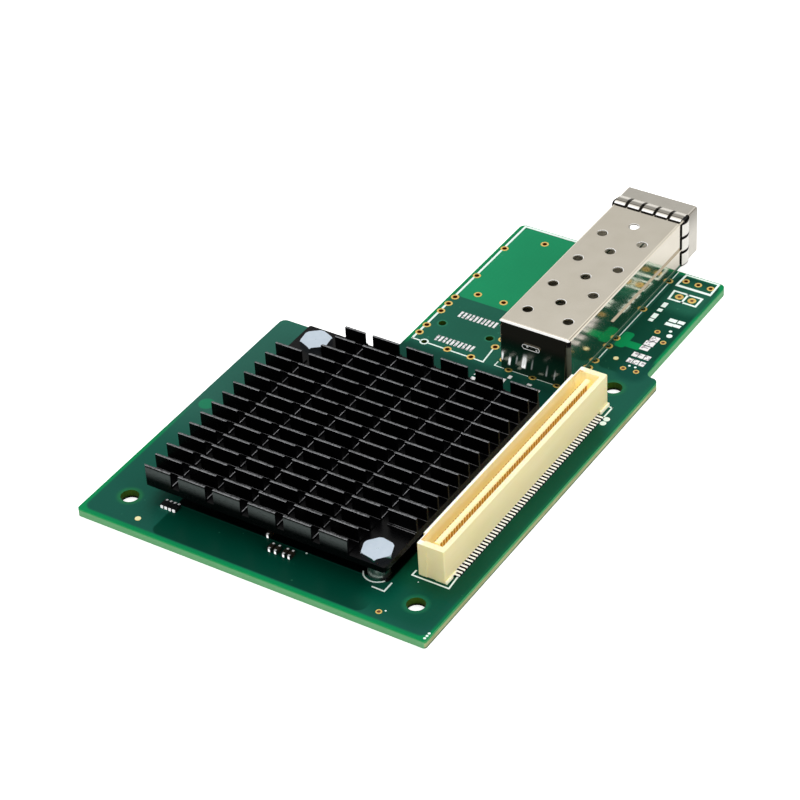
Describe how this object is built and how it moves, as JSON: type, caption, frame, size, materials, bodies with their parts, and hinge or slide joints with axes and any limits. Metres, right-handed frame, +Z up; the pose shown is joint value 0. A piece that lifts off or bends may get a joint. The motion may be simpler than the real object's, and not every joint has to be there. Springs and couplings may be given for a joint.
{
  "type": "mezzanine network card",
  "caption": "Small add-on network card: green board with a finned black heatsink, a tall board-to-board connector along one side and a steel cage for a pluggable port.",
  "frame": {"origin": "middle of the front pair of mounting holes, on the board's underside", "axes": "+X along the front edge towards the board-to-board connector, +Y from the front edge towards the port, +Z up out of the board's component side"},
  "size_m": [0.0682, 0.1155, 0.012],
  "materials": {
    "circuit_board": "green solder mask over glass laminate",
    "black_anodised_aluminium": "black anodised",
    "nickel_plated_steel": "bright nickel plate",
    "tinned_brass": "tin plate",
    "chip_moulding": "moulded epoxy",
    "thermal_pad": "soft filled silicone",
    "tinned_leads": "tin plate",
    "crystal_lid": "satin metal lid",
    "ferrite": "moulded ferrite",
    "capacitor_ceramic": "bare ceramic",
    "solder_terminals": "tinned terminals",
    "resistor_ceramic": "dark glaze on ceramic",
    "cream_plastic": "moulded cream polymer",
    "gold_contacts": "gold flash on copper alloy",
    "cage_steel": "plated folded sheet",
    "spring_steel": "plated spring sheet",
    "black_plastic": "moulded black polymer"
  },
  "bodies": {
    "root": {"board": "circuit_board", "heatsink": "black_anodised_aluminium", "heatsink_bolts": "nickel_plated_steel", "heatsink_standoffs": "tinned_brass", "network_chip": "chip_moulding", "thermal_pad": "thermal_pad", "flash_chip_body": "chip_moulding", "flash_chip_leads": "tinned_leads", "clock_crystal": "crystal_lid", "power_inductor": "ferrite", "regulator_chip": "chip_moulding", "capacitor_bodies": "capacitor_ceramic", "capacitor_terminals": "solder_terminals", "decoupling_capacitor_bodies": "capacitor_ceramic", "decoupling_capacitor_terminals": "solder_terminals", "resistor_array_body": "resistor_ceramic", "resistor_array_terminals": "solder_terminals", "mezzanine_connector_housing": "cream_plastic", "mezzanine_contacts_outer": "gold_contacts", "mezzanine_contacts_inner": "gold_contacts", "cage_cover": "cage_steel", "cage_base": "cage_steel", "emi_spring": "spring_steel", "port_contacts_lower": "gold_contacts", "port_contacts_upper": "gold_contacts", "port_connector_housing": "black_plastic"}
  },
  "joints": []
}
